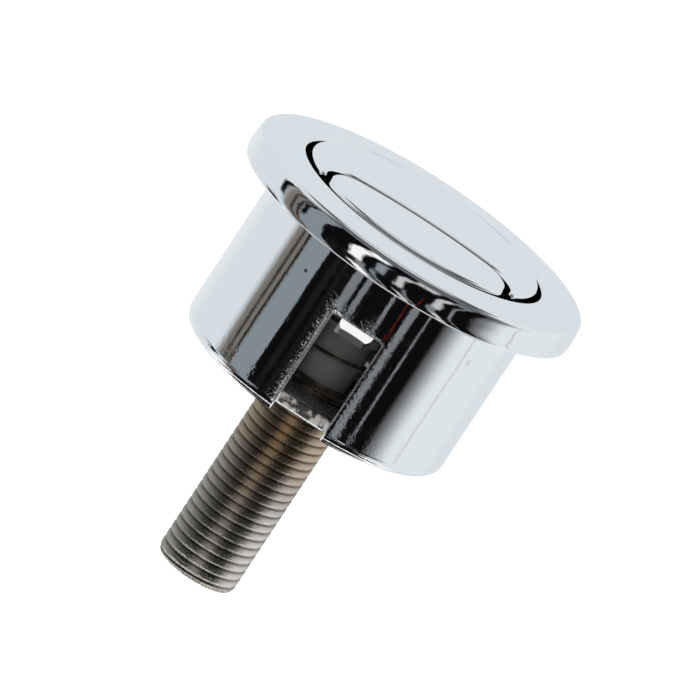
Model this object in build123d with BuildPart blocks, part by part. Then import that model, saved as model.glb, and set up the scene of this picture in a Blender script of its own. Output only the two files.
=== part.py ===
from build123d import *
from math import ceil, sqrt
import os

# Push button cistern actuator, in millimetres.
# The origin is the centre of the flange's underside. +Z points up through the buttons,
# and -Y towards the half flush button and the front slot.

# Flange and body of the housing
flange_radius = 39.0
flange_rim_height = 6.2
flange_crown = 0.75
flange_top_edge = 0.6
flange_under_edge = 0.3
body_radius = 30.75
body_depth = 37.0
body_edge = 2.7
body_wall = 2.35
floor_thickness = 2.85
hole_edge = 0.5

# Slots through the body and its floor, one at the front and one at the rear
slot_width = 12.0
slot_top_depth = 12.15
slot_floor_reach = 21.35
slot_corner = 0.8

# Threaded stud, with a plain shank in the floor and a collar that seats on it
stud_radius = 9.0
stud_depth = 82.0
stud_chamfer = 0.7
shank_step = 0.2
stud_fit = 0.05
collar_height = 1.0
collar_edge = 0.3

# Buttons
button_gap = 1.2
button_proud = 0.45
button_edge = 0.6
button_plate = 2.4
button_travel = 7.0
skirt_wall = 1.6
half_side_room = 6.2
half_far_edge = -1.95
half_far_bow = 58.5
half_far_corner = 8.0
half_near_corner = 4.0
horn_tip = 0.7

# Snap legs that hold the buttons down
leg_width = 7.6
hook_reach = 2.0
hook_land = 0.5
hook_height = 3.8
hook_corner = 1.0
hook_play = 0.25

# Full flush spring and the half flush spring inside its plunger
spring_radius = 10.5
spring_wire = 0.8
spring_turns = 3.0
spring_closed_turns = 2.0
half_spring_wire = 0.6
half_spring_turns = 3.5
half_spring_closed_turns = 1.0
spring_play = 0.3
closed_pitch_ratio = 1.1
coil_steps = 16
coil_sides = 6

# Full flush plunger
plunger_radius = 6.0
plunger_fit = 0.2
plunger_recess = 3.0
plunger_well_wall = 1.1
plunger_well_depth = 21.0
head_top_depth = 7.0
head_thickness = 2.0
head_overlap = 2.0
head_wall = 3.0
plunger_edge = 0.5

# Half flush plunger
rod_radius = 3.2
rod_fit = 0.3
rod_recess = 4.0
rod_head_drop = 2.5
rod_head_thickness = 2.5
arm_half_width = 2.5
post_thickness = 2.5
post_overlap = 1.0
press_clearance = 0.6
post_clearance = 0.4

# Levels and radii that follow from the sizes above
flange_top = flange_rim_height + flange_crown
bore_radius = body_radius - body_wall
floor_top = floor_thickness - body_depth
button_radius = bore_radius - button_gap
half_flank = button_radius - half_side_room
button_top = flange_top + button_proud
button_under = button_top - button_plate
spring_inner = spring_radius - spring_wire / 2
spring_outer = spring_radius + spring_wire / 2
head_top = -head_top_depth
head_under = head_top - head_thickness
head_radius = spring_outer + head_overlap
skirt_bottom = head_top + button_travel + press_clearance
stud_bore = plunger_radius + plunger_fit
shank_radius = stud_radius + shank_step
well_radius = plunger_radius - plunger_well_wall
well_floor = head_under - plunger_well_depth
rod_bore = rod_radius + rod_fit
rod_head_top = head_top - rod_head_drop
rod_head_under = rod_head_top - rod_head_thickness
arm_slot_floor = rod_head_under - button_travel - post_clearance
post_front = plunger_radius + post_clearance + post_thickness
post_bottom = arm_slot_floor - post_overlap
hook_top = -slot_top_depth - hook_play
leg_inner = button_radius - skirt_wall


def pocket_outline(margin):
    """The half flush button's far side and flanks, run out past the hole, grown by a margin."""
    flank = half_flank + margin
    far = half_far_edge + margin
    bow = half_far_bow + margin
    shoulder = far - bow + sqrt(bow**2 - flank**2)
    with BuildSketch() as outline:
        with BuildLine():
            ThreePointArc((-flank, shoulder), (0, far), (flank, shoulder))
            Polyline((flank, shoulder), (flank, -flange_radius), (-flank, -flange_radius), (-flank, shoulder))
        make_face()
        fillet(outline.vertices().group_by(Axis.Y)[-1], half_far_corner + margin)
    return outline.sketch


def half_outline(inset):
    """The half flush button from above, shrunk by an inset: its pocket cut to the round of the hole."""
    with BuildSketch() as outline:
        add(pocket_outline(-inset))
        Circle(button_radius - inset, mode=Mode.INTERSECT)
        fillet(outline.vertices().group_by(Axis.Y)[0], half_near_corner - inset)
    return outline.sketch


def full_outline(inset):
    """The full flush button seen from above, shrunk by an inset: a disc less the pocket and the gap."""
    with BuildSketch() as outline:
        Circle(button_radius - inset)
        add(pocket_outline(button_gap + inset), mode=Mode.SUBTRACT)
        fillet(outline.vertices().group_by(Axis.Y)[0], horn_tip)
    return outline.sketch


def button_cap(outline, side):
    """A button: a plate with a bevelled edge and a skirt, and a snap leg with its hook in a slot.

    outline gives the button's outline for an inset. side is 1 for a leg at the rear and -1 at the front.
    """
    with BuildPart() as cap:
        with BuildSketch(Plane.XY.offset(skirt_bottom)):
            add(outline(0))
        extrude(amount=button_top - skirt_bottom)
        chamfer(cap.faces().sort_by(Axis.Z)[-1].edges(), button_edge)
        with BuildSketch(Plane.XY.offset(skirt_bottom)):
            add(outline(skirt_wall))
        extrude(amount=button_under - skirt_bottom, mode=Mode.SUBTRACT)
        with BuildSketch(Plane.XY.offset(hook_top - hook_height)):
            Circle(button_radius)
            Circle(leg_inner, mode=Mode.SUBTRACT)
            with Locations((0, side * button_radius)):
                Rectangle(leg_width, 2 * skirt_wall, mode=Mode.INTERSECT)
        extrude(amount=button_under - hook_top + hook_height)
        root = side * (leg_inner + skirt_wall / 2)
        tip = side * (button_radius + hook_reach)
        with BuildSketch(Plane.YZ.offset(-leg_width / 2)):
            with BuildLine():
                Polyline(
                    (root, hook_top),
                    (tip, hook_top),
                    (tip, hook_top - hook_land),
                    (root, hook_top - hook_height),
                    close=True,
                )
            make_face()
        extrude(amount=leg_width)
        hook_corners = cap.edges().filter_by(Axis.Z).sort_by(lambda edge: side * edge.center().Y)[-2:]
        fillet(hook_corners, hook_corner)
    return cap.part


def coil_spring(radius, wire, low, high, turns, closed_turns):
    """A spring between two levels, with closed turns at both ends, lofted in short runs along its helix."""
    closed_pitch = closed_pitch_ratio * wire
    open_pitch = (high - low - wire - 2 * closed_turns * closed_pitch) / turns
    all_turns = turns + 2 * closed_turns
    steps = ceil(all_turns * coil_steps)
    with BuildPart() as spring:
        for step in range(steps + 1):
            turn = all_turns * step / steps
            open_turn = min(max(turn - closed_turns, 0), turns)
            level = low + wire / 2 + closed_pitch * (turn - open_turn) + open_pitch * open_turn
            with BuildSketch(Plane.YZ.rotated((0, 0, 360 * turn))):
                with Locations((-radius, level)):
                    RegularPolygon(wire / 2, coil_sides)
        loft(ruled=True)
    return spring.part


os.makedirs("parts", exist_ok=True)

# Housing: flange, cup and floor turned as one piece, then slotted
with BuildPart() as housing:
    with BuildSketch(Plane.XZ) as profile:
        with BuildLine():
            Polyline(
                (bore_radius, flange_top),
                (flange_radius, flange_rim_height),
                (flange_radius, 0),
                (body_radius, 0),
                (body_radius, -body_depth),
                (shank_radius + stud_fit, -body_depth),
                (shank_radius + stud_fit, floor_top),
                (bore_radius, floor_top),
                close=True,
            )
        make_face()
        rim = profile.vertices().group_by(Axis.X)[-1].sort_by(Axis.Y)
        chamfer(rim[-1], flange_top_edge)
        chamfer(rim[0], flange_under_edge)
        chamfer(profile.vertices().sort_by(Axis.Y)[-1], hole_edge)
        fillet(profile.vertices().group_by(Axis.Y)[0].sort_by(Axis.X)[-1], body_edge)
    revolve(axis=Axis.Z)
    for side in (1, -1):
        with BuildSketch(Plane.XZ.offset(side * slot_floor_reach)) as slot:
            with Locations((0, -slot_top_depth - body_depth / 2)):
                Rectangle(slot_width, body_depth)
            fillet(slot.vertices().group_by(Axis.Z)[-1], slot_corner)
        extrude(amount=side * flange_radius, mode=Mode.SUBTRACT)
housing.part.label = "housing"
export_step(housing.part, "parts/housing.step")

# Threaded stud: a tube with a shank and a collar that seat in the floor of the housing
with BuildPart() as threaded_stud:
    collar_top = floor_top + collar_height
    collar_radius = spring_inner - spring_play
    with BuildSketch(Plane.XZ) as profile:
        with BuildLine():
            Polyline(
                (stud_bore, collar_top),
                (collar_radius, collar_top),
                (collar_radius, floor_top),
                (shank_radius, floor_top),
                (shank_radius, -body_depth),
                (stud_radius, -body_depth),
                (stud_radius, -stud_depth),
                (stud_bore, -stud_depth),
                close=True,
            )
        make_face()
        chamfer(profile.vertices().group_by(Axis.Y)[0].sort_by(Axis.X)[-1], stud_chamfer)
        chamfer(profile.vertices().group_by(Axis.Y)[-1].sort_by(Axis.X)[-1], collar_edge)
    revolve(axis=Axis.Z)
threaded_stud.part.label = "threaded_stud"
export_step(threaded_stud.part, "parts/threaded_stud.step")

# The two buttons
full_flush_button = button_cap(full_outline, 1)
full_flush_button.label = "full_flush_button"
export_step(full_flush_button, "parts/full_flush_button.step")

half_flush_button = button_cap(half_outline, -1)
half_flush_button.label = "half_flush_button"
export_step(half_flush_button, "parts/half_flush_button.step")

# Full flush plunger: a tube that runs in the stud, with a spring seat and a half ring up to its button
with BuildPart() as full_flush_plunger:
    with BuildSketch(Plane.XZ) as profile:
        with BuildLine():
            Polyline(
                (rod_bore, -stud_depth + plunger_recess),
                (plunger_radius, -stud_depth + plunger_recess),
                (plunger_radius, head_under),
                (head_radius, head_under),
                (head_radius, head_top),
                (well_radius, head_top),
                (well_radius, well_floor),
                (rod_bore, well_floor),
                close=True,
            )
        make_face()
        chamfer(profile.vertices().group_by(Axis.Y)[0].sort_by(Axis.X)[-1], plunger_edge)
    revolve(axis=Axis.Z)
    with BuildSketch(Plane.XY.offset(head_top)):
        Circle(head_radius)
        Circle(head_radius - head_wall, mode=Mode.SUBTRACT)
        ring_front = half_far_edge + button_gap + skirt_wall + post_clearance
        with Locations((0, ring_front + head_radius / 2)):
            Rectangle(2 * head_radius, head_radius, mode=Mode.INTERSECT)
    extrude(amount=button_under - head_top)
    with BuildSketch(Plane.XY.offset(head_top)):
        with Locations((0, -post_front / 2)):
            Rectangle(2 * (arm_half_width + post_clearance), post_front)
    extrude(amount=arm_slot_floor - head_top, mode=Mode.SUBTRACT)
    with BuildSketch(Plane.XY.offset(head_top)):
        Circle(post_front + post_clearance)
        with Locations((0, -post_front + post_thickness / 2)):
            Rectangle(2 * head_radius, post_thickness + 2 * post_clearance, mode=Mode.INTERSECT)
    extrude(amount=-head_thickness, mode=Mode.SUBTRACT)
full_flush_plunger.part.label = "full_flush_plunger"
export_step(full_flush_plunger.part, "parts/full_flush_plunger.step")

# Half flush plunger: a rod in the tube, with an arm out to a round-fronted post under its button
with BuildPart() as half_flush_plunger:
    with BuildSketch(Plane.XY.offset(-stud_depth + rod_recess)):
        Circle(rod_radius)
    extrude(amount=rod_head_top + stud_depth - rod_recess)
    chamfer(half_flush_plunger.edges().sort_by(Axis.Z)[0], plunger_edge)
    with BuildSketch(Plane.XY.offset(rod_head_under)):
        Circle(well_radius - spring_play)
        with Locations((0, -post_front / 2)):
            Rectangle(2 * arm_half_width, post_front)
    extrude(amount=rod_head_thickness)
    with BuildSketch(Plane.XY.offset(post_bottom)):
        Circle(post_front)
        with Locations((0, -post_front + post_thickness / 2)):
            Rectangle(2 * post_front, post_thickness, mode=Mode.INTERSECT)
    extrude(amount=button_under - post_bottom)
half_flush_plunger.part.label = "half_flush_plunger"
export_step(half_flush_plunger.part, "parts/half_flush_plunger.step")

# Return springs
full_flush_spring = coil_spring(
    spring_radius, spring_wire, floor_top, head_under, spring_turns, spring_closed_turns
)
full_flush_spring.label = "full_flush_spring"
export_step(full_flush_spring, "parts/full_flush_spring.step")

half_spring_radius = (rod_radius + well_radius) / 2
half_flush_spring = coil_spring(
    half_spring_radius,
    half_spring_wire,
    well_floor,
    rod_head_under,
    half_spring_turns,
    half_spring_closed_turns,
)
half_flush_spring.label = "half_flush_spring"
export_step(half_flush_spring, "parts/half_flush_spring.step")
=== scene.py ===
"""Looks of a push button cistern actuator, dressed over its fixed frame.

Shapes are drawn in millimetres, in the frame's own axes, and scaled to metres when a piece is finished.
+Z points up through the buttons, and -Y towards the half flush button and the front slot.
"""

import logging
import math
from abc import ABC, abstractmethod
from dataclasses import dataclass
from enum import Enum
from typing import Iterable, Mapping, Sequence

import bmesh
import bpy
from mathutils import Matrix, Vector


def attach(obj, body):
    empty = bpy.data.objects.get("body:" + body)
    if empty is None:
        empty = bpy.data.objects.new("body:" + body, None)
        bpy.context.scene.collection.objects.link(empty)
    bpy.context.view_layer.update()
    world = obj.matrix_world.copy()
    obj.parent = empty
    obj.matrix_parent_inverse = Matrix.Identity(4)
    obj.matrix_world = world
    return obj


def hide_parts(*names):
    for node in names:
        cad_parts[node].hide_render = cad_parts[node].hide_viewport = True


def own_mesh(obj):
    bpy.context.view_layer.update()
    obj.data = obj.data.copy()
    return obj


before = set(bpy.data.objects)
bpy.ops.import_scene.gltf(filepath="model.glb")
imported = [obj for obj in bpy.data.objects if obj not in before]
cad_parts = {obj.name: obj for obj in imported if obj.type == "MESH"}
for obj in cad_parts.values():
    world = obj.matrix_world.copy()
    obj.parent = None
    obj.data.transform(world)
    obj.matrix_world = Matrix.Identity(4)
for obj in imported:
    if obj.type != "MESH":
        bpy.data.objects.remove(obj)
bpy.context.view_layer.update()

LOG = logging.getLogger("actuator")
MM = 0.001
WELD = 1e-4
SEAM = 5e-3
NEAR = 0.01
LARGE_FACES = 100
FEWEST_STEPS = 4
NOISE_MIDDLE = 0.5

# Sizes that several pieces or finishes go by, in millimetres
SLOT_HALF = 6.0
SLOT_TOP = -12.15
SLOT_CHORD = 21.35
CUP_FLOOR = -34.15
CUP_BOTTOM = -37.0
BUTTON_UNDER = 5.0
FULL_SEAT = -9.0
HALF_SEAT = -12.0
WELL_FLOOR = -30.0
THREAD_PITCH = 2.0

Pair = tuple[float, float]
Point = tuple[float, float, float]
Tint = tuple[float, float, float]
Colour = tuple[float, float, float, float]
Element = bmesh.types.BMVert | bmesh.types.BMEdge | bmesh.types.BMFace
Value = float | Colour | Point | bpy.types.NodeSocket


class Body(str, Enum):
    """The rigid bodies that pieces ride on."""

    HOUSING = "housing"
    FULL_FLUSH = "full_flush"
    HALF_FLUSH = "half_flush"


class Slot(str, Enum):
    """The record's material slots."""

    HOUSING = "chrome_housing"
    BUTTONS = "chrome_buttons"
    STUD = "nickel_stud"
    PLASTIC = "grey_plastic"
    SPRING = "spring_steel"


class Press(str, Enum):
    """The two sliding joints."""

    FULL_FLUSH = "full_flush_press"
    HALF_FLUSH = "half_flush_press"


class Side(int, Enum):
    """The side that a slot or a snap leg is on, as the sign of its y."""

    FRONT = -1
    REAR = 1


@dataclass(frozen=True)
class Corner:
    """One corner of a turned profile: its radius, its level and how far its edge is rounded."""

    radius: float
    level: float
    rounding: float = 0.0


def verts_of(items: Iterable[Element]) -> list[bmesh.types.BMVert]:
    """Picks the vertices out of mixed geometry.

    Args:
        items: Vertices, edges and faces.

    Returns:
        The vertices among them.
    """
    return [item for item in items if isinstance(item, bmesh.types.BMVert)]


class Shape:
    """A bmesh in millimetres that grows into one piece of the model."""

    def __init__(self, name: str) -> None:
        """Starts an empty shape.

        Args:
            name: The name of the piece that it becomes.
        """
        self.name = name
        self.bm = bmesh.new()

    def wire(self, points: Iterable[Point], closed: bool = True) -> list[bmesh.types.BMVert]:
        """Joins points by edges.

        Args:
            points: The corners in order.
            closed: Whether the last corner joins the first.

        Returns:
            The new vertices, one for each point.
        """
        verts = [self.bm.verts.new(point) for point in points]
        ends = verts[1:] + verts[:1] if closed else verts[1:]
        for start, end in zip(verts, ends):
            self.bm.edges.new((start, end))
        return verts

    def loose(self) -> list[Element]:
        """Finds what carries no face yet.

        Returns:
            The wire edges and their vertices.
        """
        edges = [edge for edge in self.bm.edges if edge.is_wire]
        return list({vert for edge in edges for vert in edge.verts}) + edges

    def round_corner(self, vert: bmesh.types.BMVert, width: float, segments: int) -> None:
        """Rounds one corner of a wire.

        Args:
            vert: The corner.
            width: How far along both edges the rounding starts.
            segments: Number of steps.
        """
        bmesh.ops.bevel(self.bm, geom=[vert], offset=width, segments=segments, profile=0.5,
                        affect="VERTICES", material=-1)

    def bevel(self, edges: Iterable[bmesh.types.BMEdge], width: float, segments: int = 4) -> None:
        """Rounds edges of a solid.

        Args:
            edges: The edges.
            width: How far from each edge the rounding starts.
            segments: Number of steps.
        """
        bmesh.ops.bevel(self.bm, geom=list(edges), offset=width, segments=segments, profile=0.5,
                        affect="EDGES", clamp_overlap=False, material=-1)

    def turn(self, geom: Iterable[Element], steps: int, degrees: float = 360.0,
             rise: float = 0.0) -> list[Element]:
        """Spins geometry about the Z axis.

        Args:
            geom: Vertices, edges or faces to spin.
            steps: Number of columns.
            degrees: Angle of the turn.
            rise: Height gained over the turn.

        Returns:
            The geometry at the end of the turn.
        """
        made = bmesh.ops.spin(self.bm, geom=list(geom), cent=(0, 0, 0), axis=(0, 0, 1),
                              dvec=(0, 0, rise / steps), angle=math.radians(degrees), steps=steps,
                              use_merge=degrees == 360 and not rise)
        return made["geom_last"]

    def sector(self, radii: Pair, levels: Pair, start: float, degrees: float, steps: int) -> None:
        """Adds a part of a ring with an oblong section.

        Args:
            radii: Its inner and its outer radius.
            levels: Its bottom and its top.
            start: Where it starts, in degrees from +X.
            degrees: The angle that it spans.
            steps: Number of columns.
        """
        inner, outer = radii
        low, high = levels
        x = math.cos(math.radians(start))
        y = math.sin(math.radians(start))
        corners = ((inner, low), (outer, low), (outer, high), (inner, high))
        verts = [self.bm.verts.new((radius * x, radius * y, level)) for radius, level in corners]
        self.turn([self.bm.faces.new(verts)], steps, degrees)

    def lathe(self, corners: Sequence[Corner], columns: int, segments: int = 6,
              closed: bool = True) -> None:
        """Turns a profile about the Z axis.

        Args:
            corners: The profile's corners in order.
            columns: Number of steps round the ring.
            segments: Number of steps over each rounded corner.
            closed: Whether the profile is a ring's section, and not a wall's or one from axis to axis.
        """
        verts = self.wire(((0, -corner.radius, corner.level) for corner in corners), closed)
        for vert, corner in zip(verts, corners):
            if corner.rounding:
                self.round_corner(vert, corner.rounding, segments)
        self.turn(self.loose(), columns)
        self.weld()

    def weld(self, distance: float = WELD) -> None:
        """Merges doubled vertices and drops what this leaves without length or area.

        Args:
            distance: How far apart two vertices may lie.
        """
        bmesh.ops.remove_doubles(self.bm, verts=self.bm.verts[:], dist=distance)
        bmesh.ops.dissolve_degenerate(self.bm, edges=self.bm.edges[:], dist=WELD)

    def extrude(self, face: bmesh.types.BMFace, rise: float) -> None:
        """Pulls a level face straight up or down into a solid.

        Args:
            face: The face.
            rise: How far it is pulled.
        """
        made = bmesh.ops.extrude_face_region(self.bm, geom=[face])["geom"]
        bmesh.ops.translate(self.bm, vec=(0, 0, rise), verts=verts_of(made))

    def block(self, half: float, near: float, far: float, high: float, low: float) -> None:
        """Adds an upright block across the front of the Z axis.

        Args:
            half: Half its width along X.
            near: The y of its side towards the axis.
            far: The y of its other side.
            high: Level of its top.
            low: Level of its bottom.
        """
        places = ((-half, near), (half, near), (half, far), (-half, far))
        face = self.bm.faces.new([self.bm.verts.new((x, y, high)) for x, y in places])
        self.extrude(face, low - high)

    def drop(self, edges: Iterable[bmesh.types.BMEdge], depth: float) -> list[bmesh.types.BMEdge]:
        """Extrudes a level loop of edges straight down into a wall.

        Args:
            edges: The loop.
            depth: Height of the wall.

        Returns:
            The wall's lower edges.
        """
        made = bmesh.ops.extrude_edge_only(self.bm, edges=list(edges))["geom"]
        bmesh.ops.translate(self.bm, vec=(0, 0, -depth), verts=verts_of(made))
        return [item for item in made if isinstance(item, bmesh.types.BMEdge)]

    def cut(self, cutter: "Shape") -> None:
        """Takes another shape's volume out of this one, which uses that shape up.

        Args:
            cutter: The volume to take out.
        """
        objects = []
        for shape in (self, cutter):
            bmesh.ops.recalc_face_normals(shape.bm, faces=shape.bm.faces[:])
            mesh = bpy.data.meshes.new(shape.name)
            shape.bm.to_mesh(mesh)
            objects.append(bpy.data.objects.new(shape.name, mesh))
            bpy.context.scene.collection.objects.link(objects[-1])
        target, tool = objects
        modifier = target.modifiers.new("cut", "BOOLEAN")
        modifier.object = tool
        modifier.operation = "DIFFERENCE"
        modifier.solver = "EXACT"
        evaluated = target.evaluated_get(bpy.context.evaluated_depsgraph_get())
        self.bm.clear()
        self.bm.from_mesh(evaluated.to_mesh())
        cutter.bm.free()
        for item in objects:
            mesh = item.data
            bpy.data.objects.remove(item)
            bpy.data.meshes.remove(mesh)

    def place(self, name: str, material: bpy.types.Material) -> bpy.types.Object:
        """Makes an object of the shape, in metres, which uses the shape up.

        Args:
            name: The object's name.
            material: The finish of the whole object.

        Returns:
            The new object.
        """
        self.weld()
        bmesh.ops.recalc_face_normals(self.bm, faces=self.bm.faces[:])
        bmesh.ops.scale(self.bm, vec=(MM, MM, MM), verts=self.bm.verts[:])
        mesh = bpy.data.meshes.new(name)
        self.bm.to_mesh(mesh)
        self.bm.free()
        mesh.materials.append(material)
        item = bpy.data.objects.new(name, mesh)
        bpy.context.scene.collection.objects.link(item)
        return item

    def finish(self, material: bpy.types.Material, body: Body, sharp: float = 40.0,
               even: bool = True) -> bpy.types.Object:
        """Makes the piece's object, in metres, and lets it stand for the CAD node of its name.

        Args:
            material: The finish of the whole piece.
            body: The body that it rides on.
            sharp: Edges that turn by more than this angle stay crisp.
            even: Whether large faces set the shading of the rounded edges beside them.

        Returns:
            The finished object.
        """
        piece = self.place(self.name + "_look", material)
        mesh = piece.data
        mesh.shade_smooth()
        mesh.set_sharp_from_angle(angle=math.radians(sharp))
        if even:
            modifier = piece.modifiers.new("even_shading", "WEIGHTED_NORMAL")
            modifier.keep_sharp = True
            modifier.weight = LARGE_FACES
        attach(piece, body.value)
        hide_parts(self.name)
        LOG.info("%s: %d faces, on %s", piece.name, len(mesh.polygons), body.value)
        return piece


class Pen:
    """Draws a level outline by turning its tip about the centres of arcs."""

    def __init__(self, shape: Shape, start: Pair, level: float, spacing: float) -> None:
        """Sets the pen down.

        Args:
            shape: The shape that the outline belongs to.
            start: Where the outline starts, as x and y.
            level: Its height.
            spacing: Length of the steps along an arc.
        """
        self.shape = shape
        self.level = level
        self.spacing = spacing
        self.tip = shape.bm.verts.new((*start, level))

    def arc(self, centre: Pair, degrees: float) -> None:
        """Turns the tip about a centre.

        Args:
            centre: The arc's centre, as x and y.
            degrees: The angle, counter-clockwise where it is positive.
        """
        pivot = Vector((*centre, self.level))
        length = (self.tip.co - pivot).length * math.radians(abs(degrees))
        steps = max(FEWEST_STEPS, math.ceil(length / self.spacing))
        made = bmesh.ops.spin(self.shape.bm, geom=[self.tip], cent=pivot, axis=(0, 0, 1),
                              angle=math.radians(degrees), steps=steps)
        self.tip = verts_of(made["geom_last"])[0]

    def line(self, x: float, y: float) -> None:
        """Draws a straight run to a point.

        Args:
            x: The point's x.
            y: The point's y.
        """
        end = self.shape.bm.verts.new((x, y, self.level))
        self.shape.bm.edges.new((self.tip, end))
        self.tip = end

    def close(self) -> bmesh.types.BMFace:
        """Joins the end to the start and fills the outline.

        Returns:
            The level face.
        """
        bmesh.ops.remove_doubles(self.shape.bm, verts=verts_of(self.shape.loose()), dist=WELD)
        edges = [edge for edge in self.shape.bm.edges if edge.is_wire]
        return bmesh.ops.contextual_create(self.shape.bm, geom=edges)["faces"][0]


class Nodes:
    """Adds and links the nodes of one shader tree."""

    def __init__(self, tree: bpy.types.NodeTree) -> None:
        """Takes a tree over, emptied.

        Args:
            tree: The tree of a material, the world or a group.
        """
        self.tree = tree
        tree.nodes.clear()

    def add(self, kind: str, inputs: Mapping[str | int, Value] | None = None,
            **settings: object) -> bpy.types.Node:
        """Adds a node.

        Args:
            kind: The node's type name.
            inputs: A number, a colour or another node's output for each named input.
            settings: The node's own options.

        Returns:
            The new node.
        """
        node = self.tree.nodes.new(kind)
        for key, value in settings.items():
            setattr(node, key, value)
        self.feed(node, inputs or {})
        return node

    def feed(self, node: bpy.types.Node, inputs: Mapping[str | int, Value]) -> None:
        """Sets or links a node's inputs.

        Args:
            node: The node.
            inputs: A number, a colour or another node's output for each named input.
        """
        for key, value in inputs.items():
            if isinstance(value, bpy.types.NodeSocket):
                self.tree.links.new(value, node.inputs[key])
            else:
                node.inputs[key].default_value = value

    def group(self, tree: bpy.types.NodeTree, inputs: Mapping[str, Value]) -> bpy.types.NodeOutputs:
        """Adds a shared effect.

        Args:
            tree: The effect's node group.
            inputs: A value for each of its inputs.

        Returns:
            The effect's outputs, by name.
        """
        node = self.add("ShaderNodeGroup", node_tree=tree)
        self.feed(node, inputs)
        return node.outputs

    def math(self, operation: str, *values: Value) -> bpy.types.NodeSocket:
        """Adds a Math node.

        Args:
            operation: What it does.
            values: Its numbers, in order.

        Returns:
            The result.
        """
        return self.add("ShaderNodeMath", dict(enumerate(values)), operation=operation).outputs[0]

    def ramp(self, value: Value, low: float, high: float, start: float = 0.0,
             end: float = 1.0) -> bpy.types.NodeSocket:
        """Turns a range of values softly into another one.

        Args:
            value: The value to map.
            low: Where the result leaves its start.
            high: Where it reaches its end.
            start: The result at low.
            end: The result at high.

        Returns:
            The result, held between start and end.
        """
        inputs = {"Value": value, "From Min": low, "From Max": high, "To Min": start, "To Max": end}
        return self.add("ShaderNodeMapRange", inputs, interpolation_type="SMOOTHSTEP").outputs[0]

    def fade(self, value: Value, low: float, high: float, start: float = 1.0,
             end: float = 0.0) -> bpy.types.NodeSocket:
        """Turns a range of lengths softly into another range.

        Args:
            value: The length to map, in metres.
            low: Where the result leaves its start, in millimetres.
            high: Where it reaches its end, in millimetres.
            start: The result at low.
            end: The result at high.

        Returns:
            The result, held between start and end.
        """
        return self.ramp(value, low * MM, high * MM, start, end)

    def mix(self, factor: Value, first: Value, second: Value) -> bpy.types.NodeSocket:
        """Blends two colours.

        Args:
            factor: Share of the second one.
            first: The first colour.
            second: The second colour.

        Returns:
            The blended colour.
        """
        node = self.add("ShaderNodeMix", {0: factor, 6: first, 7: second}, data_type="RGBA")
        return node.outputs[2]

    def noise(self, position: Value, scale: float, detail: float = 3.0,
              roughness: float = 0.5) -> bpy.types.NodeSocket:
        """Adds a noise field.

        Args:
            position: Where it is read.
            scale: Lumps per metre.
            detail: Number of finer layers.
            roughness: Weight of the finer layers.

        Returns:
            Its value.
        """
        inputs = {"Vector": position, "Scale": scale, "Detail": detail, "Roughness": roughness}
        return self.add("ShaderNodeTexNoise", inputs).outputs["Fac"]

    def bump(self, height: Value, depth: float, below: Value | None = None) -> bpy.types.NodeSocket:
        """Turns heights into a shading normal.

        Args:
            height: The height of each place, from 0 to 1.
            depth: What a height of 1 stands for, in metres.
            below: The normal that it is laid over, if it isn't the surface's own.

        Returns:
            The normal.
        """
        inputs = {"Height": height, "Distance": depth, "Strength": 1.0}
        if below is not None:
            inputs["Normal"] = below
        return self.add("ShaderNodeBump", inputs).outputs[0]

    def split(self, position: Value) -> tuple[bpy.types.NodeSocket, ...]:
        """Takes a position or a direction apart.

        Args:
            position: The position.

        Returns:
            Its x, y and z.
        """
        return tuple(self.add("ShaderNodeSeparateXYZ", {"Vector": position}).outputs)

    def azimuth(self, x: Value, y: Value) -> bpy.types.NodeSocket:
        """Finds the angle of a point round the Z axis.

        Args:
            x: The point's x.
            y: The point's y.

        Returns:
            The angle in degrees, from -Y towards +X.
        """
        angle = self.math("ARCTAN2", x, self.math("MULTIPLY", y, -1.0))
        return self.math("DEGREES", angle)

    def stretch(self, position: Value, scale: Point, turn: Point = (0, 0, 0)) -> bpy.types.NodeSocket:
        """Scales and turns a position.

        Args:
            position: The position.
            scale: Scale along each axis.
            turn: Turn about each axis, in radians.

        Returns:
            The new position.
        """
        inputs = {"Vector": position, "Scale": scale, "Rotation": turn}
        return self.add("ShaderNodeMapping", inputs).outputs[0]


def start_material(name: str) -> tuple[bpy.types.Material, Nodes]:
    """Starts a material.

    Args:
        name: Its name.

    Returns:
        The material and its nodes.
    """
    material = bpy.data.materials.new(name)
    material.use_nodes = True
    return material, Nodes(material.node_tree)


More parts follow.
